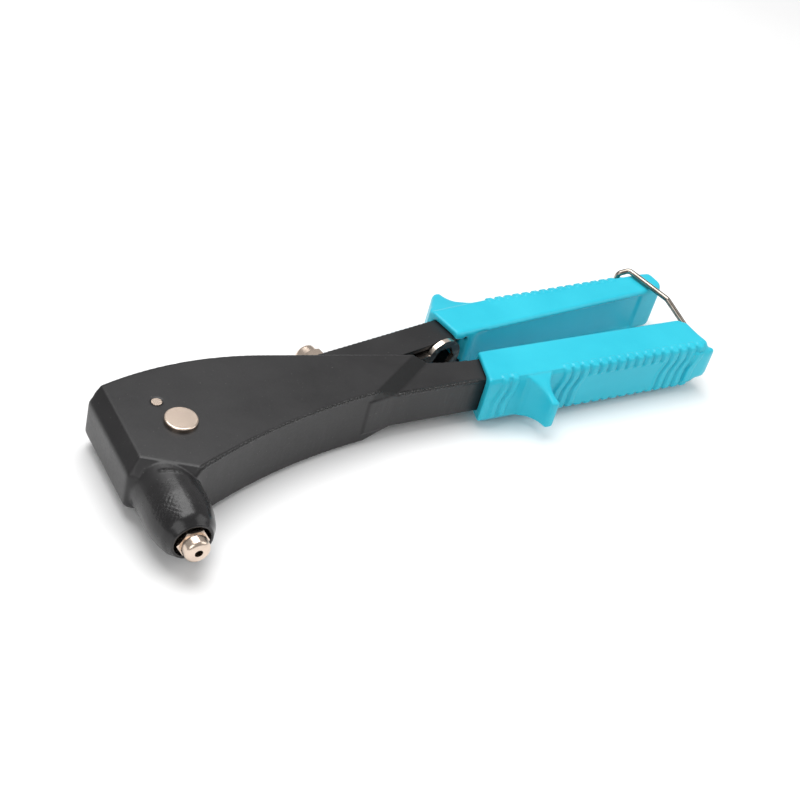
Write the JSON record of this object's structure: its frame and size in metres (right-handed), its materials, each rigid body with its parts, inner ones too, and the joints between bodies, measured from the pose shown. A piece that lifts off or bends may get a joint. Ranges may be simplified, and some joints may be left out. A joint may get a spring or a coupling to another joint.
{
  "type": "hand riveter",
  "caption": "Plier-type hand riveter for blind rivets: black cast head with a side nose, turquoise finger-guard grips held shut by a wire bail, spare nosepieces and wrench in the rear lever.",
  "frame": {"origin": "centre of the nosepiece's mouth", "axes": "-Y out of the nose, +X along the handles, +Z normal to the tool's side, so the tool lies flat on its side"},
  "size_m": [0.2445, 0.0957, 0.0249],
  "materials": {
    "black_paint": "satin black enamel",
    "grip_plastic": "turquoise moulded plastic, semi-gloss",
    "nickel": "bright warm nickel plate",
    "zinc_steel": "zinc-plated steel",
    "hard_steel": "blackened hardened steel",
    "spring_steel": "bright drawn spring wire"
  },
  "bodies": {
    "frame": {"body_casting": "black_paint", "nosepiece": "nickel", "pivot_pin": "nickel", "pivot_retainer": "nickel", "pivot_washers": "zinc_steel", "stop_pins": "nickel", "front_grip": "grip_plastic"},
    "lever": {"lever": "black_paint", "rear_grip": "grip_plastic", "spare_nosepiece_24": "nickel", "spare_nosepiece_32": "nickel", "spare_nosepiece_48": "nickel", "wrench": "nickel", "wrench_clip": "spring_steel"},
    "jaw_carriage": {"jaw_case": "hard_steel", "pull_rod": "hard_steel", "collar_nut": "zinc_steel"},
    "jaw_set": {"jaw_1": "hard_steel", "jaw_2": "hard_steel", "jaw_3": "hard_steel", "jaw_pusher": "hard_steel", "pusher_spring": "spring_steel"},
    "bail": {"handle_bail": "spring_steel"}
  },
  "joints": [
    {"name": "lever_pivot", "type": "hinge", "parent": "frame", "child": "lever", "pos_m": [0.0111, 0.0461, 0], "axis": [0, 0, 1], "range_deg": [0, 38]},
    {"name": "jaw_travel", "type": "slide", "parent": "frame", "child": "jaw_carriage", "axis": [0, -1, 0], "range_m": [0, 0.0075]},
    {"name": "jaw_release", "type": "slide", "parent": "jaw_carriage", "child": "jaw_set", "axis": [0, 1, 0], "range_m": [0, 0.002], "stiffness_N_per_m": 900, "springref_m": -0.002, "deforming": ["pusher_spring"]},
    {"name": "bail_pivot", "type": "hinge", "parent": "lever", "child": "bail", "pos_m": [0.21662, 0.08904, 0], "axis": [0, 0, 1], "range_deg": [0, 150]}
  ],
  "couplings": [
    {"joint": "jaw_travel", "follows": "lever_pivot", "m_per_rad": 0.0109}
  ]
}
